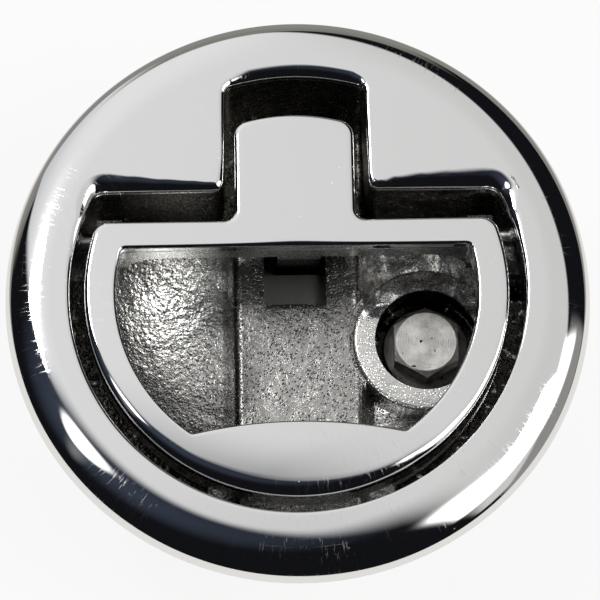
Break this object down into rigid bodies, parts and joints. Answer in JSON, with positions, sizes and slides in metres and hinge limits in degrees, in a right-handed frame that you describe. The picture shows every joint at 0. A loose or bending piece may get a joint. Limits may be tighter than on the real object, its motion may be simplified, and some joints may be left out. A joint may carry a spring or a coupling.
{
  "type": "flush pull handle with slam latch",
  "caption": "Round polished steel flush pull handle: lifting the D-ring swings its stem into a pocket and draws back a spring-loaded slam bolt behind the panel.",
  "frame": {"origin": "centre of the flange, in the plane of the panel's front face", "axes": "+Z out of the panel towards the hand, +Y from the thumb tab towards the stem and the latch nose, +X to the right seen from the front"},
  "size_m": [0.085, 0.0867, 0.0366],
  "materials": {
    "polished_casting": "mirror-polished cast stainless steel outside, as cast in the cup",
    "machined_steel": "milled and tumbled stainless steel",
    "fastener_steel": "turned and cold-headed stainless steel",
    "sheet_steel": "pressed stainless sheet, mill finish",
    "spring_steel": "drawn wire",
    "black_rubber": "matte"
  },
  "bodies": {
    "casing": {"housing": "polished_casting", "back_cover": "sheet_steel", "cover_screw_1": "fastener_steel", "cover_screw_2": "fastener_steel", "cover_screw_3": "fastener_steel", "cover_screw_4": "fastener_steel", "mounting_bracket": "sheet_steel", "bracket_nut": "fastener_steel", "mounting_bolt": "fastener_steel", "flat_washer": "fastener_steel", "flange_gasket": "black_rubber", "hinge_pin": "machined_steel", "handle_spring": "spring_steel", "bolt_spring": "spring_steel"},
    "handle": {"pull_handle": "polished_casting"},
    "bolt": {"latch_bolt": "machined_steel"}
  },
  "joints": [
    {"name": "handle_lift", "type": "hinge", "parent": "casing", "child": "handle", "pos_m": [0, 0.01, -0.0035], "axis": [-1, 0, 0], "range_deg": [0, 38], "stiffness_Nm_per_rad": 0.2039, "springref_deg": -24.73, "deforming": ["handle_spring"]},
    {"name": "bolt_slide", "type": "slide", "parent": "casing", "child": "bolt", "axis": [0, -1, 0], "range_m": [0, 0.00895], "deforming": ["bolt_spring"]}
  ],
  "couplings": [
    {"joint": "bolt_slide", "follows": "handle_lift", "m_per_rad": 0.01346}
  ]
}
